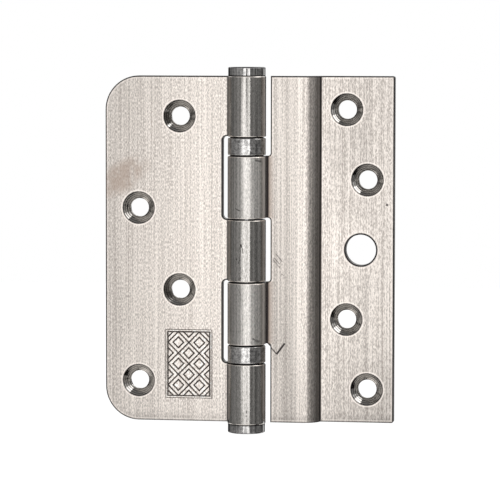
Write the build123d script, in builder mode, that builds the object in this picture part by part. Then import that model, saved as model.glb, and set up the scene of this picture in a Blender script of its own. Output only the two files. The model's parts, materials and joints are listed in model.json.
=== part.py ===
from build123d import *
from math import acos, asin, cos, degrees, radians, sin
import os

# Composite door hinge: a stainless steel butt hinge with two ball bearings, opened flat.
# All sizes are in millimetres. X runs across the leaves, Y to the back and Z up the pin.
# The origin is the centre of the plain locating hole, at mid-height of the frame leaf,
# on the back face that lies against the frame. The door leaf is on the -X side.

# Leaves: widths run from the pin line to the outer edge
leaf_height = 101.6
door_leaf_width = 42.5
frame_leaf_width = 42.5
plate_thickness = 3.0
door_corner_radius = 10.0
frame_corner_radius = 0.6
edge_break = 0.3

# Crank of the frame leaf, which steps back by the drop
crank_start = 16.0
crank_drop = 4.0
crest_radius = 5.2
foot_radius = 0.4

# Barrel: rolled knuckles round one pin
pin_diameter = 5.1
pin_clearance = 0.05
seam_gap = 0.25
centre_knuckle = 18.0
frame_knuckle = 18.1
knuckle_gap = 0.4
door_notch_edge = 7.6
frame_notch_edge = 6.6
door_notch_radius = 1.2
frame_notch_radius = 0.9
notch_overrun = 1.0

# Buttons that close the barrel's two ends
tip_diameter = 10.9
tip_height = 2.6
tip_spigot = 6.0
tip_edge_radius = 0.35

# Ball bearings, each filling the room between a door knuckle and a frame knuckle
bearing_room = 5.7
casing_diameter = 11.1
casing_wall = 0.6
casing_end_gap = 0.4
casing_edge_radius = 0.25
race_clearance = 0.05
race_bore_clearance = 0.15
ball_diameter = 1.2
ball_count = 14
ball_clearance = 0.03
race_gap = 0.7
cage_thickness = 0.4
cage_rim_clearance = 0.1

# Screw holes, countersunk from the front; distances are from the pin line and mid-height
screw_hole_diameter = 5.4
countersink_diameter = 9.45
countersink_angle = 90
door_inner_column = 20.4
door_outer_column = 32.6
door_inner_rows = (39.0, -12.0)
door_outer_rows = (12.0, -39.0)
frame_inner_column = 28.5
frame_outer_column = 34.6
frame_inner_rows = (41.0, -20.5)
frame_outer_rows = (20.5, -41.0)

# Plain locating hole in the frame leaf
locating_hole_diameter = 9.0
locating_hole_offset = 32.7

# Damage on the frame leaf: the lower notch's inner corner is torn off straight, and a
# V-shaped nick runs on from it. Its corners are given from the pin line and mid-height.
nick_width = 0.3
nick_depth = 0.25
nick_start = (6.3, -28.1)
nick_bottom = (8.5, -30.6)
nick_end = (10.8, -27.5)

# Sizes that follow from those above
bore_radius = pin_diameter / 2 + pin_clearance
barrel_radius = bore_radius + plate_thickness
half_height = leaf_height / 2
centre_end = centre_knuckle / 2
frame_knuckle_start = centre_end + knuckle_gap
frame_knuckle_end = frame_knuckle_start + frame_knuckle
door_knuckle_start = frame_knuckle_end + bearing_room
bearing_mid = frame_knuckle_end + bearing_room / 2

pin_x = -locating_hole_offset
pin_y = -(barrel_radius + crank_drop)
face_y = pin_y + bore_radius
low_face_y = face_y + crank_drop

# Working planes: the frame side is seen from above and the door side from below, so
# that both draw their plate towards +X. The front ones face the viewer, with Z upwards.
pin_plane = Plane(origin=(pin_x, pin_y, 0))
door_section_plane = Plane(origin=(pin_x, pin_y, 0), x_dir=(-1, 0, 0), z_dir=(0, 0, -1))
front_plane = Plane(origin=(pin_x, face_y, 0), x_dir=(1, 0, 0), z_dir=(0, -1, 0))
low_front_plane = Plane(origin=(pin_x, low_face_y, 0), x_dir=(1, 0, 0), z_dir=(0, -1, 0))
axis_plane = Plane(origin=(pin_x, pin_y, 0), x_dir=(1, 0, 0), z_dir=(0, -1, 0))
pin_axis = Axis((pin_x, pin_y, 0), (0, 0, 1))

os.makedirs("parts", exist_ok=True)


def save(part, name):
    """Label a finished piece and write its STEP file."""
    part.label = name
    export_step(part, f"parts/{name}.step")


def rolled_eye():
    """Draw the bore, barrel and end of an eye whose plate leaves towards +X.

    The plate's back is tangent to the barrel and its front to the bore. The rolled
    end is cut square and stops just short of the plate's front face.
    """
    tangent_angle = 90
    end_angle = asin((bore_radius - seam_gap) / barrel_radius)
    sweep = 360 - tangent_angle + degrees(end_angle)
    CenterArc((0, 0), bore_radius, tangent_angle, sweep)
    CenterArc((0, 0), barrel_radius, tangent_angle, sweep)
    Line(
        (bore_radius * cos(end_angle), bore_radius * sin(end_angle)),
        (barrel_radius * cos(end_angle), barrel_radius * sin(end_angle)),
    )


def cut_notch(edge_x, reach_x, low_z, high_z, corner, finish_corner=fillet):
    """Cut one notch through eye and plate, from the edge across the barrel."""
    with BuildSketch(front_plane) as notch:
        with Locations(((edge_x + reach_x) / 2, (low_z + high_z) / 2)):
            Rectangle(abs(reach_x - edge_x), high_z - low_z)
        finish_corner(notch.vertices(), corner)
    extrude(notch.sketch, amount=2 * barrel_radius, both=True, mode=Mode.SUBTRACT)


def countersink(plane, column, rows):
    """Sink one column of screw holes into a leaf's front face."""
    with Locations(plane):
        with Locations(*[(column, row) for row in rows]):
            CounterSinkHole(
                radius=screw_hole_diameter / 2,
                counter_sink_radius=countersink_diameter / 2,
                counter_sink_angle=countersink_angle,
            )


def break_edges(leaf, bends):
    """Round a leaf's cut outline, front and back, by the edge break.

    The lines where a flat runs smoothly into a bend, given by their distances from
    the pin line, are left alone. The rounding goes on round the knuckles' ends.
    """
    outline = ShapeList()
    for flat in leaf.faces().filter_by(GeomType.PLANE).filter_by(Axis.Y):
        for edge in flat.outer_wire().edges():
            offset = abs(edge.center().X - pin_x)
            smooth = any(abs(offset - bend) < edge_break for bend in bends)
            if not smooth:
                outline.append(edge)
    fillet(outline, edge_break)


# Door leaf: flat plate with the top, middle and bottom knuckles
door_reach = barrel_radius + door_notch_radius + notch_overrun
with BuildPart() as door_leaf:
    with BuildSketch(door_section_plane):
        with BuildLine():
            rolled_eye()
            Polyline(
                (0, bore_radius),
                (door_leaf_width, bore_radius),
                (door_leaf_width, barrel_radius),
                (0, barrel_radius),
            )
        make_face()
    extrude(amount=half_height, both=True)
    outer_corners = door_leaf.edges().filter_by(Axis.Y).group_by(Axis.X)[0]
    fillet(outer_corners, door_corner_radius)
    for side in (1, -1):
        low, high = sorted((side * centre_end, side * door_knuckle_start))
        cut_notch(-door_notch_edge, door_reach, low, high, door_notch_radius)
    break_edges(door_leaf, (0,))
    countersink(front_plane, -door_inner_column, door_inner_rows)
    countersink(front_plane, -door_outer_column, door_outer_rows)
save(door_leaf.part, "door_leaf")

# Frame leaf: cranked plate with the two knuckles between
crest_turn = acos(1 - crank_drop / (crest_radius + foot_radius))
foot_x = crank_start + (crest_radius + foot_radius) * sin(crest_turn)
crest_centre = (crank_start, bore_radius + crest_radius)
foot_centre = (foot_x, bore_radius + crank_drop - foot_radius)
crest_degrees = degrees(crest_turn)
low_front = bore_radius + crank_drop
low_back = barrel_radius + crank_drop
frame_reach = -(barrel_radius + frame_notch_radius + notch_overrun)
open_end = half_height + 2 * frame_notch_radius
with BuildPart() as frame_leaf:
    with BuildSketch(pin_plane):
        with BuildLine():
            rolled_eye()
            Line((0, bore_radius), (crank_start, bore_radius))
            Line((0, barrel_radius), (crank_start, barrel_radius))
            CenterArc(crest_centre, crest_radius, -90, crest_degrees)
            CenterArc(crest_centre, crest_radius - plate_thickness, -90, crest_degrees)
            CenterArc(foot_centre, foot_radius, 90, crest_degrees)
            CenterArc(foot_centre, foot_radius + plate_thickness, 90, crest_degrees)
            Polyline(
                (foot_x, low_front),
                (frame_leaf_width, low_front),
                (frame_leaf_width, low_back),
                (foot_x, low_back),
            )
        make_face()
    extrude(amount=half_height, both=True)
    outer_corners = frame_leaf.edges().filter_by(Axis.Y).group_by(Axis.X)[-1]
    fillet(outer_corners, frame_corner_radius)
    for low, high, finish in (
        (frame_knuckle_end, open_end, fillet),
        (-frame_knuckle_start, frame_knuckle_start, fillet),
        (-open_end, -frame_knuckle_end, chamfer),
    ):
        cut_notch(frame_notch_edge, frame_reach, low, high, frame_notch_radius, finish)
    break_edges(frame_leaf, (0, crank_start, foot_x))
    with BuildSketch(front_plane):
        with BuildLine():
            Polyline(nick_start, nick_bottom, nick_end)
        trace(line_width=nick_width)
    extrude(amount=-nick_depth, mode=Mode.SUBTRACT)
    countersink(low_front_plane, frame_inner_column, frame_inner_rows)
    countersink(low_front_plane, frame_outer_column, frame_outer_rows)
    with Locations(low_front_plane):
        with Locations((locating_hole_offset, 0)):
            Hole(radius=locating_hole_diameter / 2)
save(frame_leaf.part, "frame_leaf")

# Pin: runs between the spigots of the two tips
pin_half_length = half_height - tip_spigot
with BuildPart() as hinge_pin:
    with BuildSketch(pin_plane.offset(-pin_half_length)):
        Circle(pin_diameter / 2)
    extrude(amount=2 * pin_half_length)
save(hinge_pin.part, "hinge_pin")

# Tips: a button on each end of the barrel, its spigot pressed into the knuckle's bore
for name, outwards in (("top_tip", 1), ("bottom_tip", -1)):
    with BuildPart() as tip:
        with BuildSketch(pin_plane.offset(outwards * half_height)):
            Circle(tip_diameter / 2)
        extrude(amount=outwards * tip_height)
        outer_rim = tip.edges().group_by(Axis.Z)[-1 if outwards > 0 else 0]
        fillet(outer_rim, tip_edge_radius)
        with BuildSketch(pin_plane.offset(outwards * half_height)):
            Circle(bore_radius)
        extrude(amount=-outwards * tip_spigot)
    save(tip.part, name)

# Ball bearings: each has a casing and one race on the frame's knuckle, the other race
# on the door's knuckle, and a cage of balls that rolls between the two races
casing_inner = casing_diameter / 2 - casing_wall
race_inner = pin_diameter / 2 + race_bore_clearance
ball_radius = ball_diameter / 2
for level, upwards in (("upper", 1), ("lower", -1)):
    mid_z = upwards * bearing_mid
    half_room = bearing_room / 2

    with BuildPart() as casing:
        with BuildSketch(axis_plane):
            with Locations((casing_inner + casing_wall / 2, mid_z)):
                Rectangle(casing_wall, bearing_room - 2 * casing_end_gap)
        revolve(axis=pin_axis)
        rims = casing.edges().filter_by(GeomType.CIRCLE).sort_by(SortBy.RADIUS)
        fillet(rims[-2:], casing_edge_radius)
    save(casing.part, f"{level}_bearing_casing")

    ball_path = (race_inner + casing_inner) / 2
    for race_name, outwards, race_outer in (
        ("frame_race", -upwards, casing_inner),
        ("door_race", upwards, casing_inner - race_clearance),
    ):
        race_height = half_room - race_gap / 2
        race_z = mid_z + outwards * (half_room - race_height / 2)
        with BuildPart() as race:
            with BuildSketch(axis_plane):
                with Locations(((race_inner + race_outer) / 2, race_z)):
                    Rectangle(race_outer - race_inner, race_height)
                with Locations((ball_path, mid_z)):
                    Circle(ball_radius + ball_clearance, mode=Mode.SUBTRACT)
            revolve(axis=pin_axis)
        save(race.part, f"{level}_{race_name}")

    with BuildPart() as cage:
        with BuildSketch(pin_plane.offset(mid_z)):
            Circle(casing_inner - cage_rim_clearance)
            Circle(race_inner + cage_rim_clearance, mode=Mode.SUBTRACT)
            with PolarLocations(ball_path, ball_count):
                Circle(ball_radius + ball_clearance, mode=Mode.SUBTRACT)
        extrude(amount=cage_thickness / 2, both=True)
    save(cage.part, f"{level}_ball_cage")

    with BuildPart(pin_plane.offset(mid_z)) as balls:
        with PolarLocations(ball_path, ball_count):
            Sphere(ball_radius)
    save(balls.part, f"{level}_balls")
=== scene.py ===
import json
import math

import bpy
import numpy as np
from bpy.props import FloatProperty, FloatVectorProperty, IntProperty, PointerProperty
from mathutils import Matrix, Vector


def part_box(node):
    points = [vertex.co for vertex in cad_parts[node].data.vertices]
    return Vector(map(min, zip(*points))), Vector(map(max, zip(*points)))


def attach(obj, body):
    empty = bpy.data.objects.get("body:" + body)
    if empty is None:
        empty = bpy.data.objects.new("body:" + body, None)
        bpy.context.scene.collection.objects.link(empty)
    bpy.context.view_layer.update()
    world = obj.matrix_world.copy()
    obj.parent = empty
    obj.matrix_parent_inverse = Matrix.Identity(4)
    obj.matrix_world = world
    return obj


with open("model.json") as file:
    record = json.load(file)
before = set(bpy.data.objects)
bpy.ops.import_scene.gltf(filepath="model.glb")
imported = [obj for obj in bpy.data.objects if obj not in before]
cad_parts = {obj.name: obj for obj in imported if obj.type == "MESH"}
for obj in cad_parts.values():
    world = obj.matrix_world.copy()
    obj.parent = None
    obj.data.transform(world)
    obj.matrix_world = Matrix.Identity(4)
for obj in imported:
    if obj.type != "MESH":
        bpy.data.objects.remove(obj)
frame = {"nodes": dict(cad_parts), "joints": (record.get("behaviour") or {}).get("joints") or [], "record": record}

bl_info = {
    "name": "Composite Door Hinge",
    "version": (1, 0, 0),
    "blender": (4, 5, 0),
    "location": "3D View > Sidebar > Hinge",
    "description": "Finishes a ball-bearing butt hinge and sets up its studio",
    "category": "Object",
}

MM = 0.001
NODES = frame["nodes"]
MOUNTS = {mount["name"]: mount for mount in frame["record"]["mounts"]}
SWING = next(joint for joint in frame["joints"] if joint["name"] == "door_swing")
PIN = Vector(SWING["pos_m"])
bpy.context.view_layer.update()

# Sizes in millimetres, counted from the pin's axis at mid-height, +Z up and +Y to the back.
PLATE = 3.0


def from_pin(point):
    """A place in metres becomes millimetres from the pin."""
    return tuple(round((value - start) / MM, 4) for value, start in zip(point, PIN))


def screw_holes(*names):
    """The centres, as (x, z), of the two holes of each screw pattern."""
    centres = []
    for name in names:
        x, _, z = from_pin(MOUNTS[name]["pos_m"])
        half = MOUNTS[name]["dims"]["spacing_y_mm"] / 2
        centres += [(x, z - half), (x, z + half)]
    return centres


BARREL = from_pin(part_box("door_leaf")[0])[1] * -1
HALF_HEIGHT = from_pin(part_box("door_leaf")[1])[2]
DOOR_WIDTH = from_pin(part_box("door_leaf")[0])[0] * -1
FRAME_WIDTH = from_pin(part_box("frame_leaf")[1])[0]
DOOR_FACE = from_pin(MOUNTS["door_fixing_face"]["pos_m"])[1] - PLATE
FRAME_KNUCKLE_TOP = from_pin(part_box("upper_frame_race")[0])[2]
DOOR_KNUCKLE_BOTTOM = from_pin(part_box("upper_door_race")[1])[2]
CENTRE_TOP = 9.0
FRAME_KNUCKLE_BOTTOM = 9.4
DOOR_CORNER = 10.0
DOOR_NOTCH, DOOR_NOTCH_CORNER = 7.6, 1.2
FRAME_NOTCH, FRAME_NOTCH_CORNER = 6.6, 0.9
CRANK_START, FOOT = 16.0, 20.85
COUNTERSINK = 4.725
# The pitch of the rings turned in a countersink, and the darker band along both lower edges.
RING_PITCH = 0.55
LOWER_BAND = 3.5
DOOR_HOLES = screw_holes("door_inner_screws", "door_outer_screws")
FRAME_HOLES = screw_holes("frame_inner_screws", "frame_outer_screws")
LOCATING_HOLE = from_pin(MOUNTS["locating_hole"]["pos_m"])[::2]
LOCATING_RADIUS = MOUNTS["locating_hole"]["dims"]["r_mm"]
# The pad's grooves stand off the leaf by the lift, and its skirt goes in by the sink.
PAD_LIFT, PAD_SINK = 0.01, 0.06
# How far the floor reaches each way, and the radius and half depth of the ring cards.
FLOOR_REACH = 4000.0
RING_RADIUS, RING_DEPTH = 330.0, 110.0

# Points along the bend of an upright card and of a ring card.
CARD_POINTS, RING_POINTS = 25, 49
# Share of each leaf's grain that runs its whole height.
DOOR_STREAKS, FRAME_STREAKS = 0.24, 0.33

# Wear marks as (start x, start z, end x, end z, width, depth), in millimetres from the pin.
DOOR_MARKS = [
    (-0.96, 1.95, -0.82, 1.30, 0.50, 1.0),
    (-1.22, 1.00, -1.12, -0.50, 0.26, 0.7),
    (-1.12, -0.50, -1.25, -2.40, 0.26, 0.7),
    (-1.25, -2.40, -1.65, -3.50, 0.26, 0.6),
    (-0.45, 0.90, -0.30, -0.50, 0.24, 0.6),
    (-2.25, -2.20, -2.25, -2.45, 0.42, 0.8),
    (-1.55, -8.30, -0.95, -7.70, 0.28, 0.5),
    (0.92, -46.60, 0.84, -47.20, 0.40, 0.6),
    (0.80, -47.95, 0.76, -48.30, 0.40, 0.6),
    (0.90, -49.20, 0.95, -49.70, 0.35, 0.4),
]
FRAME_MARKS = [
    (-2.60, 12.55, -2.00, 12.10, 0.28, 0.7),
    (-2.00, 12.10, -1.35, 11.90, 0.34, 0.8),
    (3.20, 26.50, 4.60, 26.10, 0.60, 0.7),
    (2.60, -25.40, 3.00, -25.70, 0.40, 0.8),
    (3.30, -25.90, 4.20, -26.40, 0.70, 0.6),
    (-2.25, -9.90, -0.80, -12.90, 0.16, 0.4),
    (8.40, -1.35, 10.10, -3.45, 0.26, 0.65),
    (7.80, -2.35, 9.30, -4.15, 0.26, 0.6),
    (7.37, -2.80, 9.45, -5.30, 0.26, 0.5),
    (9.85, -7.00, 10.65, -7.50, 0.26, 0.55),
    (40.20, 13.34, 40.54, 13.22, 0.60, 0.9),
    (6.20, -28.00, 8.50, -30.60, 0.34, 0.75),
    (8.50, -30.60, 10.80, -27.50, 0.55, 0.95),
]
# The smudge's centre, how far it reaches across and up, and how much it rises per millimetre across.
SMUDGE, SMUDGE_REACH, SMUDGE_SLOPE = (-37.5, 21.0), (8.0, 5.0), 0.45


class Value:
    """One shader socket. Arithmetic on it adds the Math nodes that work it out."""

    def __init__(self, paint, socket):
        self.paint = paint
        self.socket = socket

    def math(self, operation, *inputs):
        """A Math node on these values or numbers."""
        return self.paint.node("ShaderNodeMath", {"operation": operation}, inputs)

    def __add__(self, other):
        return self.math("ADD", self, other)

    def __sub__(self, other):
        return self.math("SUBTRACT", self, other)

    def __rsub__(self, other):
        return self.math("SUBTRACT", other, self)

    def __mul__(self, other):
        return self.math("MULTIPLY", self, other)

    def __truediv__(self, other):
        return self.math("DIVIDE", self, other)

    def __pow__(self, exponent):
        return self.math("POWER", self, exponent)

    def __abs__(self):
        return self.math("ABSOLUTE", self)

    def __neg__(self):
        return self.math("MULTIPLY", self, -1.0)

    __radd__ = __add__
    __rmul__ = __mul__

    def least(self, other):
        return self.math("MINIMUM", self, other)

    def most(self, other):
        return self.math("MAXIMUM", self, other)

    def wave(self):
        return self.math("SINE", self)

    def step(self, start, end):
        """0 up to start, 1 from end, and a smooth rise between them."""
        settings = {"interpolation_type": "SMOOTHSTEP"}
        return self.paint.node("ShaderNodeMapRange", settings, [self, start, end, 0.0, 1.0])

    def between(self, start, end, soft):
        """1 between start and end, with soft edges outside them."""
        return self.step(start - soft, start) * (1 - self.step(end, end + soft))


class Paint:
    """Mixes the nodes of one material or world. node() adds any node."""

    def __init__(self, block):
        self.block = block
        block.use_nodes = True
        self.tree = block.node_tree
        self.tree.nodes.clear()

    def node(self, kind, settings, inputs, output=0):
        """Sets the node's settings first, then gives each input its value or its link."""
        made = self.tree.nodes.new(kind)
        for name, value in settings.items():
            setattr(made, name, value)
        pairs = inputs.items() if isinstance(inputs, dict) else enumerate(inputs)
        for name, value in pairs:
            socket = made.inputs[name]
            if isinstance(value, Value):
                self.tree.links.new(value.socket, socket)
            elif socket.type == "RGBA" and len(value) == 3:
                socket.default_value = (*value, 1.0)
            else:
                socket.default_value = value
        return Value(self, made.outputs[output]) if made.outputs else made

    def start(self):
        """Object coordinates as millimetres from the pin, whole and as x, y and z."""
        spot = self.node("ShaderNodeTexCoord", {}, {}, "Object")
        to_pin = {"Vector": spot, "Scale": (1 / MM,) * 3, "Location": tuple(-PIN / MM)}
        self.spot = self.node("ShaderNodeMapping", {}, to_pin)
        return self.split(self.spot)

    def split(self, vector):
        """The x, y and z of a vector."""
        return [self.node("ShaderNodeSeparateXYZ", {}, [vector], label) for label in "XYZ"]

    def facing(self):
        """The surface's direction in the object's own space, as x, y and z."""
        return self.split(self.node("ShaderNodeTexCoord", {}, {}, "Normal"))

    def noise(self, per_mm, detail, roughness, shift=0.0):
        """Noise from 0 to 1 with that many features per millimetre along x, y and z."""
        place = {"Vector": self.spot, "Scale": per_mm, "Location": (shift,) * 3}
        spot = self.node("ShaderNodeMapping", {}, place)
        inputs = {"Vector": spot, "Scale": 1.0, "Detail": detail, "Roughness": roughness}
        return self.node("ShaderNodeTexNoise", {}, inputs, "Fac")

    def mix(self, factor, first, second):
        """A colour between two colours."""
        settings = {"data_type": "RGBA", "clamp_factor": True}
        return self.node("ShaderNodeMix", settings, {0: factor, 6: first, 7: second}, 2)

    def layered(self, colour, *layers):
        """A colour with layers over it, each given as its mask and its own colour."""
        for mask, over in layers:
            colour = self.mix(mask, colour, over)
        return colour

    def scaled(self, colour, factor):
        """A colour multiplied by a number."""
        inputs = {"Vector": colour, "Scale": factor}
        return self.node("ShaderNodeVectorMath", {"operation": "SCALE"}, inputs, "Vector")

    def bump(self, height, distance):
        """A Bump node: height is 0 to 1 over that distance in millimetres."""
        return self.node("ShaderNodeBump", {}, {"Height": height, "Distance": distance * MM}, "Normal")

    def metal(self, **sockets):
        """Ends the material with a metallic surface that has these sockets."""
        named = {key.replace("_", " "): value for key, value in sockets.items()}
        surface = self.node("ShaderNodeBsdfPrincipled", {}, {"Metallic": 1.0, **named}, "BSDF")
        return self.end(surface)

    def end(self, surface):
        """Joins the surface to the output of the material or world."""
        world = isinstance(self.block, bpy.types.World)
        kind = "ShaderNodeOutputWorld" if world else "ShaderNodeOutputMaterial"
        self.node(kind, {}, {"Surface": surface})
        return self.block


def tuned(first, second, mask):
    """A number that goes from first to second as the mask goes from 0 to 1."""
    return mask * (second - first) + first


def near_point(x, z, centre):
    """The distance, in the plane of the leaf, from a point."""
    across, along = x - centre[0], z - centre[1]
    return (across * across + along * along) ** 0.5


def corner_distance(across, along, radius):
    """Millimetres outside two sides that meet in a round corner, from its centre of rounding."""
    beyond = (across.most(0.0) ** 2 + along.most(0.0) ** 2) ** 0.5
    return beyond + across.most(along).least(0.0) - radius


def on_door_face(y):
    """1 at the depth of the door leaf's face, which the frame leaf's raised flat shares."""
    return 1 - abs(y - DOOR_FACE).step(0.1, 0.3)


def stroke(x, z, mark):
    """The mask of a scratch: a thin box with soft sides, from one point of the leaf to another."""
    start_x, start_z, end_x, end_z, width, depth = mark
    length = math.hypot(end_x - start_x, end_z - start_z)
    run_x, run_z = (end_x - start_x) / length, (end_z - start_z) / length
    along = (x - start_x) * run_x + (z - start_z) * run_z
    beside = (x - start_x) * -run_z + (z - start_z) * run_x
    soft = width / 2
    return along.between(0.0, length, soft) * (1 - abs(beside).step(width * 0.25, width * 0.75)) * depth


def joined(masks):
    """The highest of several masks."""
    whole = masks[0]
    for mask in masks[1:]:
        whole = whole.most(mask)
    return whole


def grain(paint):
    """Brushed grain along the pin: short hairs, streaks as long as the leaf and broad bands."""
    hair = paint.noise((4.6, 4.6, 1.3), 2.0, 0.6)
    streak = paint.noise((4.0, 4.0, 0.02), 1.0, 0.5, 7.0)
    band = paint.noise((0.6, 0.6, 0.012), 2.0, 0.5, 19.0)
    return hair, streak, band


def barrel_steel(paint, steel, x, y, hair, tone):
    """The drawn knuckles: their colour, the mask of their painted side shade and their drawn lines.

    Painted shade runs as a dark band down each side of the barrel, and a painted glint down the
    front of the right one. Each is a band of depths, as the barrel turns away there.
    """
    drawn = paint.noise((1.6, 1.6, 0.008), 3.0, 0.6, 3.0)
    streaked = (drawn * 0.5 + hair * 0.5).step(0.36, 0.64)
    colour = paint.scaled(paint.mix(streaked, steel.barrel_dark, steel.barrel_light), tone)
    right = x.step(-0.1, 0.1)
    # Painted shade down both sides, and a painted highlight down the front of the right side.
    side_shade = y.between(-2.0, -0.7, 0.5) * (1 - right) + y.between(-0.9, -0.1, 0.3) * right
    glint = y.between(-2.2, -1.35, 0.2) * right
    colour = paint.layered(colour, (side_shade * 0.95, steel.rim_shade), (glint * 0.8, steel.bright_light))
    return colour, side_shade, drawn


def countersink_steel(paint, steel, x, z, holes, flatness, front):
    """The cones of the screw holes: their layers of colour, their mask and the turned rings.

    The rings are a sine of the distance from the nearest hole's axis. The layers are a painted
    highlight round each cone, the cone and a painted dark line of shade on its edge.
    """
    nearest = near_point(x, z, holes[0])
    for centre in holes[1:]:
        nearest = nearest.least(near_point(x, z, centre))
    beyond = nearest - COUNTERSINK
    turned = (beyond * (2 * math.pi / RING_PITCH)).wave() * 0.5 + 0.5
    chatter = paint.noise((2.5, 2.5, 2.5), 2.0, 0.6, 5.0)
    tone = (turned * 0.5 + chatter * 0.5).step(0.25, 0.75)
    cone = paint.mix(tone, steel.countersink_dark, steel.countersink_light)
    sunk = (1 - beyond.step(-0.02, 0.06)) * (1 - flatness.step(0.93, 0.98))
    # A painted highlight round each cone and painted shade on its edge.
    lip_highlight = beyond.between(0.25, 0.45, 0.12) * front
    cone_edge_shade = beyond.between(-0.20, 0.08, 0.06) * front
    layers = [(lip_highlight * 0.6, steel.grain_light), (sunk, cone), (cone_edge_shade * 0.6, steel.rim_shade)]
    return layers, sunk, turned


def leaf_steel(name, steel, holes, barrel_roughness, streaks, features):
    """Brushed plate, drawn barrel, turned countersinks, dark cut edges and painted light and shade on one leaf.

    streaks is the share of the grain, from 0 to 0.9, that runs the leaf's whole height.
    features(paint, x, y, z) gives the distance from the leaf's cut outline, the dark marks with
    painted crease shade among them, the soft smudge, which on the frame leaf is a painted shadow,
    and the two tones that the plate's and the barrel's colours are multiplied by; the barrel's is
    painted light and shade.
    """
    paint = Paint(bpy.data.materials.new(name))
    x, y, z = paint.start()
    _, face_y, face_z = paint.facing()
    reach = (x * x + y * y) ** 0.5
    barrel = 1 - reach.step(BARREL + 0.05, BARREL + 0.35)
    plate = 1 - barrel
    flatness = abs(face_y)
    front = (-face_y).step(0.0, 0.3)
    edge, marks, stain_and_shadow, tone, barrel_light_and_shade = features(paint, x, y, z)

    hair, streak, band = grain(paint)
    brushed = (hair * (0.90 - streaks) + streak * streaks + band * 0.10).step(0.39, 0.61)
    colour = paint.scaled(paint.mix(brushed, steel.grain_dark, steel.grain_light), tone)
    knuckle, side_shade, drawn = barrel_steel(paint, steel, x, y, hair, barrel_light_and_shade)
    cones, sunk, turned = countersink_steel(paint, steel, x, z, holes, flatness, front)

    # A painted highlight inside the outline, the grey cut, and painted edge shade, weaker at the bottom.
    sheen = edge.between(0.45, 0.75, 0.15) * front * plate
    cut = (1 - flatness.step(0.25, 0.6)) * (1 - edge.step(0.30, 0.45)) * plate
    rim_shade = (1 - edge.step(0.26, 0.48)) * flatness.step(0.02, 0.2) * plate
    rim_shade = rim_shade * (1 - (-z).step(HALF_HEIGHT - 1.0, HALF_HEIGHT) * 0.5)
    # Painted shade on the knuckles' end faces in the gaps, and a painted highlight on their edge fillets.
    ends = abs(face_z).step(0.75, 0.92) * barrel
    edge_highlight = abs(face_z).between(0.15, 0.60, 0.1) * barrel * front
    colour = paint.layered(
        colour,
        (barrel, knuckle),
        (sheen * 0.3, steel.grain_light),
        (cut, steel.cut_edge),
        (edge_highlight * 0.8, steel.grain_light),
        (rim_shade.most(ends), steel.rim_shade),
        *cones,
        (stain_and_shadow * (0.75 + streak * 0.5) * front, steel.stain_and_shadow),
        (marks * front, steel.scratch),
    )

    gloss = tuned(steel.leaf_roughness, barrel_roughness, barrel)
    gloss = tuned(gloss, steel.countersink_roughness, sunk) + (streak - 0.5) * 0.10
    gloss = gloss + marks * 0.2 + rim_shade.most(cut) * 0.15 + side_shade * barrel * 0.85
    relief = (hair * 0.5 + streak * 0.5) * (1 - sunk * 0.7) * (1 - barrel * 0.6)
    relief = relief + drawn * barrel * 0.25 + turned * sunk * 0.5 - marks * 1.5
    return paint.metal(
        Base_Color=colour, Roughness=gloss, Anisotropic=steel.anisotropy,
        Normal=paint.bump(relief, steel.grain_depth / MM),
    )


def door_features(paint, x, y, z):
    """A rounded box with a notch beside each frame knuckle, and a smudge by the outer edge.

    Painted shade runs as a dark line where the plate meets the barrel. The plate is darker
    towards its outer edge and its lower edge.
    """
    across, along = DOOR_CORNER - DOOR_WIDTH, DOOR_CORNER - HALF_HEIGHT
    outer = -corner_distance(-x + across, abs(z) + along, DOOR_CORNER)
    middle = (DOOR_KNUCKLE_BOTTOM + CENTRE_TOP) / 2
    half = (DOOR_KNUCKLE_BOTTOM - CENTRE_TOP) / 2 - DOOR_NOTCH_CORNER
    notch = corner_distance(
        -x + (DOOR_NOTCH_CORNER - DOOR_NOTCH), abs(abs(z) - middle) - half, DOOR_NOTCH_CORNER)
    uneven = paint.noise((0.30, 0.30, 0.22), 3.0, 0.6, 11.0)
    beside = x - SMUDGE[0]
    over, up = beside / SMUDGE_REACH[0], (z - SMUDGE[1] - beside * SMUDGE_SLOPE) / SMUDGE_REACH[1]
    smudge = (1 - (over * over + up * up).step(0.1, 1.5)) * uneven.step(0.30, 0.62) * 0.7
    low = (-z).step(20.0, 38.0)
    bottom = low * 0.02 + (-z).step(HALF_HEIGHT - LOWER_BAND, HALF_HEIGHT) * 0.20
    tone = 1.0 - (-x).step(12.0, DOOR_WIDTH) * (0.25 - low * 0.08) - bottom
    # Painted shade where the plate meets the barrel.
    crease_shade = x.step(-BARREL - 0.85, -BARREL - 0.5) - x.step(-BARREL + 0.1, -BARREL + 0.4)
    crease_shade = crease_shade * on_door_face(y) * 0.9
    marks = joined([crease_shade] + [stroke(x, z, mark) for mark in DOOR_MARKS])
    return outer.least(notch), marks, smudge, tone, 1.0


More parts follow.
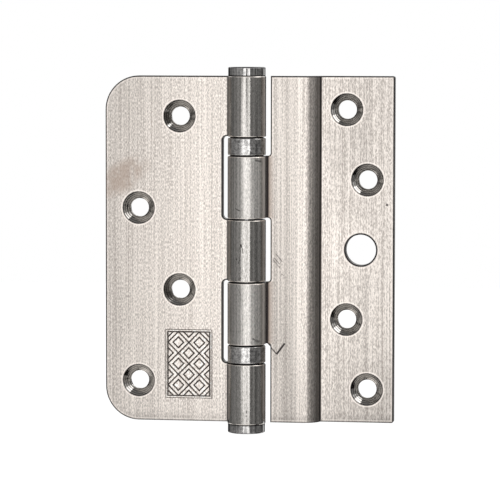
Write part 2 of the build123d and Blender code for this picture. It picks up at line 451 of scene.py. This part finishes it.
def frame_features(paint, x, y, z):
    """A box with notches beside the door's knuckles and the plain hole, whose painted edge shade is wider.

    Painted shade lies where the knuckles' rolled ends meet the plate and in the foot of the crank,
    and a painted shadow on the plate beside the knuckles. The raised flat is darker lower down, and
    the low flat in its lower corner and between its holes. The knuckles carry painted light and
    shade, brighter on their right half.
    The tones are shares of the full brightness.
    """
    outer = (FRAME_WIDTH - x).least(HALF_HEIGHT - abs(z)).least(abs(x - FOOT) + 0.2)
    tab = (abs(z) - FRAME_KNUCKLE_BOTTOM).least(FRAME_KNUCKLE_TOP - abs(z))
    notch = corner_distance(
        x + (FRAME_NOTCH_CORNER - FRAME_NOTCH), tab + FRAME_NOTCH_CORNER, FRAME_NOTCH_CORNER)
    marks = [stroke(x, z, mark) for mark in FRAME_MARKS]
    bore = (near_point(x, z, LOCATING_HOLE) - LOCATING_RADIUS) * 0.8
    # Painted shade where the knuckles' rolled ends meet the plate.
    joint = (1 - x.step(BARREL + 0.15, BARREL + 0.65)) * on_door_face(y) * tab.step(-0.1, 0.1)
    # Painted shade down the crank's bend into its foot.
    foot = x.step(FOOT - 2.8, FOOT - 0.6) * (1 - x.step(FOOT, FOOT + 0.12))
    # A painted shadow on the plate beside the knuckles, in the same brown as the smudges.
    shadow = (1 - x.step(BARREL, BARREL + 2.6)) * on_door_face(y) * tab.step(-0.3, 0.1)
    raised = 1 - x.step(12.5, CRANK_START)
    down = (-z).step(-HALF_HEIGHT, HALF_HEIGHT)
    corner = x.step(24.0, FRAME_WIDTH) * (0.16 + (-z).step(24.0, 44.0) * 0.14)
    bottom = (-z).step(20.0, HALF_HEIGHT) * 0.06 + (-z).step(HALF_HEIGHT - LOWER_BAND, HALF_HEIGHT) * 0.18
    bottom = bottom - raised * (1 - x.step(8.0, 14.0)) * (-z).step(26.0, 42.0) * 0.16
    dull = x.between(24.0, 34.0, 3.0) * (0.07 + z.between(26.0, 33.0, 6.0) * 0.07) * abs(z).step(4.0, 12.0)
    tone = 0.97 - raised * (down * 0.16 + 0.125) - corner - bottom - dull
    # Painted light and shade on the frame knuckles: brighter on their right half, less so at the far right.
    barrel_light_and_shade = 1.05 + x.step(-1.5, 2.0) * 0.60 - x.step(3.2, 5.4) * 0.30
    edge = outer.least(notch).least(bore)
    return edge, joined([*marks, joint, foot * 0.73]), shadow * 0.8, tone, barrel_light_and_shade


def bright_steel(name, steel, roughness, mottle, rim_shade_amount):
    """Turned steel with dull patches, and painted shade on the right of the barrel.

    mottle is how strong the patches are, from 0 to 0.8, and rim_shade_amount is how dark the painted
    shade is on its rounded rims and in its joints with the knuckles.
    """
    paint = Paint(bpy.data.materials.new(name))
    x, _, z = paint.start()
    upright = abs(paint.facing()[2])
    patch = paint.noise((1.3, 1.3, 1.3), 3.0, 0.65)
    line = paint.noise((0.25, 0.25, 2.2), 2.0, 0.5, 5.0)
    streak = paint.noise((1.8, 1.8, 0.25), 3.0, 0.6, 9.0)
    tone = patch * mottle + line * 0.2 + streak * (0.8 - mottle)
    colour = paint.mix(tone.step(0.36, 0.64), steel.bright_dark, steel.bright_light)
    # Painted shade on the right of the barrel.
    colour = paint.scaled(colour, 1 - x.step(1.5, 3.0) * 0.22)
    # Painted shade on the rounded rims and in the joints with the knuckles.
    rounded = upright.step(0.12, 0.45) * (1 - upright.step(0.97, 0.995))
    beyond = abs(z) - HALF_HEIGHT
    joint = beyond.step(-0.5, 0.0) * (1 - beyond.step(0.12, 0.40))
    colour = paint.mix(rounded.most(joint) * rim_shade_amount, colour, steel.rim_shade)
    gloss = patch.step(0.40, 0.70) * mottle * 0.18 + roughness
    return paint.metal(
        Base_Color=colour, Roughness=gloss, Normal=paint.bump(patch * 0.5 + streak * 0.5, 0.004),
    )


def plain_metal(name, dark, light, roughness):
    """A small inner part: even metal with a faint cloud of oil on it."""
    paint = Paint(bpy.data.materials.new(name))
    paint.start()
    cloud = paint.noise((0.8, 0.8, 0.8), 3.0, 0.6)
    colour = paint.mix(cloud.step(0.3, 0.7), dark, light)
    return paint.metal(Base_Color=colour, Roughness=roughness, Normal=paint.bump(cloud, 0.003))


def dress(node, material):
    """Gives a CAD node one material."""
    slots = NODES[node].data.materials
    slots.clear()
    slots.append(material)


def grid_faces(rows, columns):
    """Quads over a grid of points numbered along its rows."""
    index = np.arange(rows * columns).reshape(rows, columns)
    corners = [index[:-1, :-1], index[:-1, 1:], index[1:, 1:], index[1:, :-1]]
    return np.stack(corners, axis=-1).reshape(-1, 4)


def add_mesh(name, points, faces, material):
    """A new object at the origin. Points are in millimetres from the pin."""
    mesh = bpy.data.meshes.new(name)
    places = np.asarray(points).reshape(-1, 3) * MM + np.array(PIN)
    mesh.from_pydata(places.tolist(), [], faces)
    mesh.materials.append(material)
    thing = bpy.data.objects.new(name, mesh)
    bpy.context.scene.collection.objects.link(thing)
    return thing


def lattice_height(across, along, pad):
    """Height from 0 to 1 of nested diamonds in a frame, at each point of the pad.

    Two families of slanting lines cut the pad into diamonds. The distance to the nearest line
    makes one groove on the line and a second one inside each diamond. The height falls from 1
    to 0 towards a groove: it is the distance to the groove over the width of the slope, up to 1,
    smoothed at both ends.
    """
    inner = np.array([pad.width, pad.height]) / MM / 2 - pad.frame / MM
    wide, tall = 2 * inner[0] / pad.columns, 2 * inner[1] / pad.rows
    rising, falling = across / wide + along / tall, across / wide - along / tall
    per_mm = math.hypot(1 / wide, 1 / tall)
    line = np.minimum(abs(rising - np.round(rising)), abs(falling - np.round(falling))) / per_mm
    groove = np.minimum(line, abs(line - pad.nest / MM))
    inside = np.minimum(inner[0] - abs(across), inner[1] - abs(along))
    outside = np.maximum(abs(across) - inner[0], abs(along) - inner[1])
    border = np.minimum(pad.width / MM / 2 - abs(across), pad.height / MM / 2 - abs(along))
    field = np.where(inside > 0, np.minimum(groove, inside), np.minimum(outside, border))
    rise = np.clip((field - pad.groove / MM / 2) / (pad.slope / MM), 0.0, 1.0)
    return rise * rise * (3 - 2 * rise)


def make_lattice(pad, material):
    """The pad is a sheet y = face - rise * height(x, z), with a skirt that sinks into the leaf.

    The skirt is the outermost ring of points, and one face over it closes the pad at the back.
    """
    half = np.array([pad.width, pad.height]) / MM / 2
    counts = np.ceil(2 * half / (pad.grid / MM)).astype(int) + 1
    sides = [np.linspace(-reach, reach, count) for reach, count in zip(half, counts)]
    across, along = np.meshgrid(*sides)
    height = lattice_height(across, along, pad)
    centre = np.array(pad.centre) / MM
    depth = DOOR_FACE - PAD_LIFT - height * pad.rise / MM
    points = np.stack([across + centre[0], depth, along + centre[1]], axis=-1)
    points = np.pad(points, ((1, 1), (1, 1), (0, 0)), mode="edge")
    rows, columns = points.shape[:2]
    border = np.ones((rows, columns), bool)
    border[1:-1, 1:-1] = False
    points[border, 1] = DOOR_FACE + PAD_SINK
    index = np.arange(rows * columns).reshape(rows, columns)
    loop = np.concatenate([index[0, :-1], index[:-1, -1], index[-1, :0:-1], index[:0:-1, 0]])
    faces = grid_faces(rows, columns).tolist() + [loop[::-1].tolist()]
    thing = add_mesh("lattice_pad", points, faces, material)
    grooves = thing.data.attributes.new("groove", "FLOAT", "POINT")
    grooves.data.foreach_set("value", np.pad(1 - height, 1, mode="edge").ravel())
    return thing


def pad_features(paint, x, y, z):
    """The door leaf's outline, smudge and tone, a quarter brighter, and painted shade in the grooves."""
    outer, _, stain_and_shadow, tone, barrel_light_and_shade = door_features(paint, x, y, z)
    # Painted shade in the grooves.
    groove = paint.node("ShaderNodeAttribute", {"attribute_name": "groove"}, {}, "Fac")
    return outer, groove * groove, stain_and_shadow, tone * 1.25, barrel_light_and_shade


def stage_card(name, points, radiance, steps):
    """A studio card that only reflections see. steps is how many points it has each way."""
    paint = Paint(bpy.data.materials.new(name))
    glow = paint.node("ShaderNodeEmission", {}, {"Color": (1.0, 1.0, 1.0), "Strength": radiance})
    card = add_mesh(name, points, grid_faces(*steps).tolist(), paint.end(glow))
    card.visible_camera = False
    card.visible_diffuse = False
    card.visible_transmission = False
    card.visible_shadow = False


def upright_card(name, radius, start, end, low, high, radiance):
    """A card bent round the pin, given by its angles from the front and its elevations.

    It is x = radius sin(angle), y = -radius cos(angle) and z = radius tan(elevation), and both
    the angle and the elevation are in degrees.
    """
    turn = np.radians(np.linspace(start, end, CARD_POINTS))
    height = radius * np.tan(np.radians([low, high]))
    turns, heights = np.meshgrid(turn, height)
    points = np.stack([radius * np.sin(turns), -radius * np.cos(turns), heights], axis=-1)
    stage_card(name, points, radiance, (2, CARD_POINTS))


def ring_card(name, start, end, radiance):
    """A card bent round the depth axis, given by its clock angles from +X towards +Z.

    It is x = radius cos(angle), z = radius sin(angle) and y from -depth to depth, and the angle
    is in degrees.
    """
    turn = np.radians(np.linspace(start, end, RING_POINTS))
    turns, depths = np.meshgrid(turn, [-RING_DEPTH, RING_DEPTH])
    points = np.stack([RING_RADIUS * np.cos(turns), depths, RING_RADIUS * np.sin(turns)], axis=-1)
    stage_card(name, points, radiance, (2, RING_POINTS))


# Upright cards as name, radius in millimetres, start and end angle, low and high elevation, and
# brightness. They stand side by side, and the last two stand in front of the others.
UPRIGHT_CARDS = [
    ("left_rear_card", 1000, -172, -118, -19, 19, 0.04),
    ("left_card", 1000, -118, -57, -19, 19, 0.26),
    ("left_middle_card", 1000, -57, -34, -19, 19, 0.33),
    ("left_front_card", 1000, -34, -24, -10, 1.9, 0.58),
    ("left_softbox", 1000, -24, -14, -10, 1.9, 1.35),
    ("left_low_card", 1000, -34, -14, -19, -10, 0.22),
    ("left_high_card", 1000, -34, -14, 1.9, 19, 0.22),
    ("left_strip", 1000, -14, -6, -10, 10, 1.75),
    ("front_card", 1000, -6, 16, -10, 19, 1.40),
    ("right_strip", 1000, 16, 27, -10, 10, 1.75),
    ("right_front_card", 1000, 27, 46, -19, 19, 0.22),
    ("right_middle_card", 1000, 46, 62, -19, 19, 0.27),
    ("right_card", 1000, 62, 132, -19, 19, 0.125),
    ("right_slit", 1000, 132, 150, -19, 19, 0.80),
    ("right_rear_card", 1000, 150, 172, -19, 19, 0.06),
    ("low_front_card", 1000, -14, 27, -19, -10, 1.0),
    ("lens_card", 980, 3.5, 10.5, 0.9, 6.3, 0.10),
    ("right_high_card", 980, 68, 92, 2, 19, 0.70),
]
# Cards round the depth axis as name, start and end clock angle, and brightness.
RING_CARDS = [
    ("right_ring", -18, 10, 0.22),
    ("high_right_ring", 18, 28, 0.60),
    ("bright_ring", 28, 60, 2.60),
    ("lower_right_ring", -62, -18, 0.0),
    ("lower_ring", -122, -62, 0.13),
    ("left_ring", 60, 238, 0.22),
]


def look_from(aim, azimuth, elevation, distance):
    """A place at that distance from the aim. Azimuth 0 is in front, on the -Y side."""
    back = Vector((
        math.sin(azimuth) * math.cos(elevation),
        -math.cos(azimuth) * math.cos(elevation),
        math.sin(elevation),
    ))
    return aim + back * distance, back


def paint_world(studio):
    """White to the camera and in reflections, softer where it lights things."""
    paint = Paint(bpy.data.worlds.new("studio"))
    rays = [
        paint.node("ShaderNodeLightPath", {}, {}, f"Is {kind} Ray")
        for kind in ("Camera", "Glossy", "Transmission")
    ]
    strength = tuned(studio.fill, 1.0, joined(rays))
    sky = paint.node("ShaderNodeBackground", {}, {"Color": (1.0, 1.0, 1.0), "Strength": strength})
    bpy.context.scene.world = paint.end(sky)


def paint_floor(studio):
    """Pale paper that is a little less bright under the lamp, so that it stays white."""
    paint = Paint(bpy.data.materials.new("floor"))
    x, y, _ = paint.start()
    away = (x * x + y * y) ** 0.5
    glow = tuned(studio.floor_glow_near, studio.floor_glow_far, away.step(300, 1600))
    paper = {"Base Color": (0.9, 0.9, 0.9), "Roughness": 0.9, "Emission Strength": 1.0}
    paper["Emission Color"] = paint.scaled((1.0, 1.0, 1.0), glow)
    return paint.end(paint.node("ShaderNodeBsdfPrincipled", {}, paper))


class HingeSteel(bpy.types.PropertyGroup):
    """Colours and surface values of the steel."""

    # Also paints the highlights inside the outline, round the countersinks and on the knuckles' edge fillets.
    grain_light: FloatVectorProperty(
        name="Grain, light", description="Brushed plate between the grain lines",
        default=(1.0, 0.925, 0.855), subtype="COLOR", size=3, min=0, max=1)
    grain_dark: FloatVectorProperty(
        name="Grain, dark", description="Brushed plate in the grain lines",
        default=(0.46, 0.415, 0.38), subtype="COLOR", size=3, min=0, max=1)
    barrel_light: FloatVectorProperty(
        name="Barrel, light", description="Drawn steel of the knuckles",
        default=(0.66, 0.63, 0.60), subtype="COLOR", size=3, min=0, max=1)
    barrel_dark: FloatVectorProperty(
        name="Barrel, dark", description="Drawn steel of the knuckles in its streaks",
        default=(0.31, 0.30, 0.28), subtype="COLOR", size=3, min=0, max=1)
    cut_edge: FloatVectorProperty(
        name="Cut edge", description="Sheared edges of the plates",
        default=(0.30, 0.29, 0.28), subtype="COLOR", size=3, min=0, max=1)
    # Painted shade: near black on rounded rims, down the barrel's sides, on the countersinks' edges, in the tips'
    # joints and on the faces inside the gaps.
    rim_shade: FloatVectorProperty(
        name="Rim", description="Rounded rims and the faces inside the gaps",
        default=(0.035, 0.033, 0.034), subtype="COLOR", size=3, min=0, max=1)
    countersink_light: FloatVectorProperty(
        name="Countersink, light", description="Turned cones of the screw holes",
        default=(0.58, 0.555, 0.53), subtype="COLOR", size=3, min=0, max=1)
    countersink_dark: FloatVectorProperty(
        name="Countersink, dark", description="Turned cones of the screw holes in their rings",
        default=(0.25, 0.24, 0.225), subtype="COLOR", size=3, min=0, max=1)
    # Also paints the glint down the barrel's right side.
    bright_light: FloatVectorProperty(
        name="Turned steel, light", description="Tips and bearing casings",
        default=(0.82, 0.80, 0.78), subtype="COLOR", size=3, min=0, max=1)
    bright_dark: FloatVectorProperty(
        name="Turned steel, dark", description="Tips and bearing casings where they are dull",
        default=(0.28, 0.275, 0.27), subtype="COLOR", size=3, min=0, max=1)
    # Also paints the shadow beside the frame leaf's knuckles.
    stain_and_shadow: FloatVectorProperty(
        name="Stain", description="Smudges and the dirt beside the knuckles",
        default=(0.36, 0.28, 0.23), subtype="COLOR", size=3, min=0, max=1)
    # Also paints the shade where the plates meet the knuckles, in the crank's foot and in the pad's grooves.
    scratch: FloatVectorProperty(
        name="Scratch", description="Scratches and nicks",
        default=(0.045, 0.04, 0.04), subtype="COLOR", size=3, min=0, max=1)
    leaf_roughness: FloatProperty(
        name="Leaf roughness", description="Roughness of the brushed plates", default=0.30, min=0, max=1)
    countersink_roughness: FloatProperty(
        name="Countersink roughness", description="Roughness of the turned cones",
        default=0.10, min=0, max=1)
    door_barrel_roughness: FloatProperty(
        name="Door barrel roughness", description="Roughness of the door leaf's knuckles",
        default=0.13, min=0, max=1)
    frame_barrel_roughness: FloatProperty(
        name="Frame barrel roughness", description="Roughness of the frame leaf's knuckles",
        default=0.34, min=0, max=1)
    tip_roughness: FloatProperty(
        name="Tip roughness", description="Roughness of the two tips", default=0.05, min=0, max=1)
    casing_roughness: FloatProperty(
        name="Casing roughness", description="Roughness of the bearing casings",
        default=0.09, min=0, max=1)
    anisotropy: FloatProperty(
        name="Anisotropy", description="How far the grain spreads reflections sideways",
        default=0.45, min=0, max=1)
    grain_depth: FloatProperty(
        name="Grain depth", description="Depth of the brushed grain",
        default=0.010 * MM, unit="LENGTH", precision=6)


class HingePad(bpy.types.PropertyGroup):
    """Sizes of the embossed diamond lattice on the door leaf."""

    width: FloatProperty(
        name="Width", description="Width of the pad", default=14.0 * MM, unit="LENGTH")
    height: FloatProperty(
        name="Height", description="Height of the pad", default=20.4 * MM, unit="LENGTH")
    centre: FloatVectorProperty(
        name="Centre", description="Centre of the pad from the pin, across and up",
        default=(-17.6 * MM, -33.9 * MM), size=2, unit="LENGTH")
    frame: FloatProperty(
        name="Frame", description="Width of the plain strip round the lattice",
        default=0.75 * MM, unit="LENGTH")
    groove: FloatProperty(
        name="Groove", description="Width of the floor of each groove", default=0.12 * MM, unit="LENGTH")
    slope: FloatProperty(
        name="Slope", description="Width of the slope at each side of a groove",
        default=0.20 * MM, unit="LENGTH")
    rise: FloatProperty(
        name="Rise", description="Height of the diamonds over the leaf", default=0.20 * MM, unit="LENGTH")
    nest: FloatProperty(
        name="Nest", description="Distance of a diamond's inner groove from its sides",
        default=1.10 * MM, unit="LENGTH")
    grid: FloatProperty(
        name="Grid", description="Spacing of the mesh", default=0.08 * MM, unit="LENGTH")
    columns: IntProperty(
        name="Columns", description="Diamonds across the pad", default=2, min=1)
    rows: IntProperty(
        name="Rows", description="Diamonds up the pad", default=3, min=1)


class HingeStudio(bpy.types.PropertyGroup):
    """Camera, floor and light."""

    azimuth: FloatProperty(
        name="Azimuth", description="Camera's turn from straight in front, towards +X",
        default=math.radians(8.745), subtype="ANGLE")
    elevation: FloatProperty(
        name="Elevation", description="Camera's height over the hinge",
        default=math.radians(4.137), subtype="ANGLE")
    roll: FloatProperty(
        name="Roll", description="Camera's turn about its own axis",
        default=math.radians(0.08), subtype="ANGLE")
    distance: FloatProperty(
        name="Distance", description="Camera's distance from its aim",
        default=905.5 * MM, unit="LENGTH")
    aim: FloatVectorProperty(
        name="Aim", description="Point that the camera looks at, from the pin's middle",
        default=(0.96 * MM, 0.0, 0.09 * MM), size=3, unit="LENGTH")
    view_width: FloatProperty(
        name="View width", description="Width that the picture spans at the aim",
        default=145.9726 * MM, unit="LENGTH")
    floor_drop: FloatProperty(
        name="Floor drop", description="How far the floor is under the pin's middle",
        default=350 * MM, unit="LENGTH")
    fill: FloatProperty(
        name="Fill", description="Strength of the world where it lights things", default=0.6, min=0)
    floor_glow_near: FloatProperty(
        name="Floor glow, near", description="Glow of the floor under the hinge", default=0.26, min=0)
    floor_glow_far: FloatProperty(
        name="Floor glow, far", description="Glow of the floor away from the hinge", default=0.48, min=0)
    lamp_power: FloatProperty(
        name="Lamp power", description="Power of the overhead lamp in watts", default=7.0, min=0)
    lamp_size: FloatProperty(
        name="Lamp size", description="Width of the square lamp", default=500 * MM, unit="LENGTH")
    lamp_place: FloatVectorProperty(
        name="Lamp place", description="Where the lamp hangs, from the pin's middle",
        default=(0.0, -150 * MM, 1200 * MM), size=3, unit="LENGTH")


class HINGE_OT_door_leaf(bpy.types.Operator):
    """Brush the door leaf and polish its three knuckles"""

    bl_idname = "hinge.door_leaf"
    bl_label = "Door Leaf"

    def execute(self, context):
        steel = context.scene.hinge_steel
        dress("door_leaf", leaf_steel(
            "door_leaf_steel", steel, DOOR_HOLES, steel.door_barrel_roughness, DOOR_STREAKS, door_features))
        return {"FINISHED"}


class HINGE_OT_frame_leaf(bpy.types.Operator):
    """Brush the cranked frame leaf and its two duller knuckles"""

    bl_idname = "hinge.frame_leaf"
    bl_label = "Frame Leaf"

    def execute(self, context):
        steel = context.scene.hinge_steel
        dress("frame_leaf", leaf_steel(
            "frame_leaf_steel", steel, FRAME_HOLES, steel.frame_barrel_roughness, FRAME_STREAKS,
            frame_features))
        return {"FINISHED"}


class HINGE_OT_lattice_pad(bpy.types.Operator):
    """Emboss the framed diamond lattice on the door leaf"""

    bl_idname = "hinge.lattice_pad"
    bl_label = "Lattice Pad"

    def execute(self, context):
        steel = context.scene.hinge_steel
        material = leaf_steel(
            "pad_steel", steel, DOOR_HOLES, steel.door_barrel_roughness, DOOR_STREAKS, pad_features)
        pad = make_lattice(context.scene.hinge_pad, material)
        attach(pad, "door_side")
        return {"FINISHED"}


class HINGE_OT_tips(bpy.types.Operator):
    """Turn the two tips bright"""

    bl_idname = "hinge.tips"
    bl_label = "Tips"

    def execute(self, context):
        steel = context.scene.hinge_steel
        bright = bright_steel("tip_steel", steel, steel.tip_roughness, mottle=0.3, rim_shade_amount=0.9)
        for name in ("top_tip", "bottom_tip"):
            dress(name, bright)
        return {"FINISHED"}


class HINGE_OT_bearings(bpy.types.Operator):
    """Finish the casings, races, cages and balls of both bearings"""

    bl_idname = "hinge.bearings"
    bl_label = "Ball Bearings"

    def execute(self, context):
        steel = context.scene.hinge_steel
        casing = bright_steel("casing_steel", steel, steel.casing_roughness, mottle=0.6, rim_shade_amount=0.0)
        # The races are near black: painted shade in the gaps between the knuckles.
        race = plain_metal("race_shade_steel", (0.010, 0.010, 0.011), (0.030, 0.029, 0.028), 0.45)
        cage = plain_metal("cage_brass", (0.55, 0.38, 0.14), (0.72, 0.52, 0.22), 0.28)
        ball = plain_metal("ball_steel", (0.62, 0.61, 0.60), (0.80, 0.79, 0.78), 0.08)
        for level in ("upper", "lower"):
            dress(f"{level}_bearing_casing", casing)
            dress(f"{level}_frame_race", race)
            dress(f"{level}_door_race", race)
            dress(f"{level}_ball_cage", cage)
            dress(f"{level}_balls", ball)
        return {"FINISHED"}


class HINGE_OT_pin(bpy.types.Operator):
    """Grind the hinge pin"""

    bl_idname = "hinge.pin"
    bl_label = "Hinge Pin"

    def execute(self, context):
        dress("hinge_pin", plain_metal("pin_steel", (0.45, 0.44, 0.43), (0.62, 0.61, 0.60), 0.18))
        return {"FINISHED"}


class HINGE_OT_stage(bpy.types.Operator):
    """Set up the camera, the floor, the lamp and the studio cards"""

    bl_idname = "hinge.stage"
    bl_label = "Stage"

    def execute(self, context):
        scene = context.scene
        studio = scene.hinge_studio
        scene.view_settings.view_transform = "Standard"
        self.place_camera(scene, studio)
        paint_world(studio)
        drop = -studio.floor_drop / MM
        sides = ((-1, -1), (1, -1), (1, 1), (-1, 1))
        corners = [(x * FLOOR_REACH, y * FLOOR_REACH, drop) for x, y in sides]
        add_mesh("floor", corners, [(0, 1, 2, 3)], paint_floor(studio))
        for card in UPRIGHT_CARDS:
            upright_card(*card)
        for card in RING_CARDS:
            ring_card(*card)
        self.hang_lamp(scene, studio)
        return {"FINISHED"}

    def place_camera(self, scene, studio):
        data = bpy.data.cameras.new("camera")
        data.lens = data.sensor_width * studio.distance / studio.view_width
        camera = bpy.data.objects.new("camera", data)
        scene.collection.objects.link(camera)
        aim = PIN + Vector(studio.aim)
        camera.location, back = look_from(aim, studio.azimuth, studio.elevation, studio.distance)
        roll = Matrix.Rotation(studio.roll, 4, "Z").to_quaternion()
        camera.rotation_mode = "QUATERNION"
        camera.rotation_quaternion = (-back).to_track_quat("-Z", "Y") @ roll
        scene.camera = camera

    def hang_lamp(self, scene, studio):
        data = bpy.data.lights.new("overhead_lamp", "AREA")
        data.energy = studio.lamp_power
        data.size = studio.lamp_size
        lamp = bpy.data.objects.new("overhead_lamp", data)
        scene.collection.objects.link(lamp)
        lamp.location = PIN + Vector(studio.lamp_place)
        lamp.visible_glossy = False


class HINGE_PT_panel(bpy.types.Panel):
    """Lists the hinge's operators and its values"""

    bl_idname = "HINGE_PT_panel"
    bl_label = "Composite Door Hinge"
    bl_space_type = "VIEW_3D"
    bl_region_type = "UI"
    bl_category = "Hinge"

    def draw(self, context):
        for operator in OPERATORS:
            self.layout.operator(operator.bl_idname)
        for group in (context.scene.hinge_steel, context.scene.hinge_pad, context.scene.hinge_studio):
            box = self.layout.box()
            for name in group.__annotations__:
                box.prop(group, name)


GROUPS = {"hinge_steel": HingeSteel, "hinge_pad": HingePad, "hinge_studio": HingeStudio}
OPERATORS = (
    HINGE_OT_door_leaf, HINGE_OT_frame_leaf, HINGE_OT_lattice_pad, HINGE_OT_tips,
    HINGE_OT_bearings, HINGE_OT_pin, HINGE_OT_stage,
)


def register():
    for kind in (*GROUPS.values(), *OPERATORS, HINGE_PT_panel):
        bpy.utils.register_class(kind)
    for name, group in GROUPS.items():
        setattr(bpy.types.Scene, name, PointerProperty(type=group))


def unregister():
    for name in GROUPS:
        delattr(bpy.types.Scene, name)
    for kind in reversed((*GROUPS.values(), *OPERATORS, HINGE_PT_panel)):
        bpy.utils.unregister_class(kind)


def main():
    register()
    bpy.ops.hinge.door_leaf()
    bpy.ops.hinge.frame_leaf()
    bpy.ops.hinge.lattice_pad()
    bpy.ops.hinge.tips()
    bpy.ops.hinge.bearings()
    bpy.ops.hinge.pin()
    bpy.ops.hinge.stage()


if __name__ == "__main__":
    main()
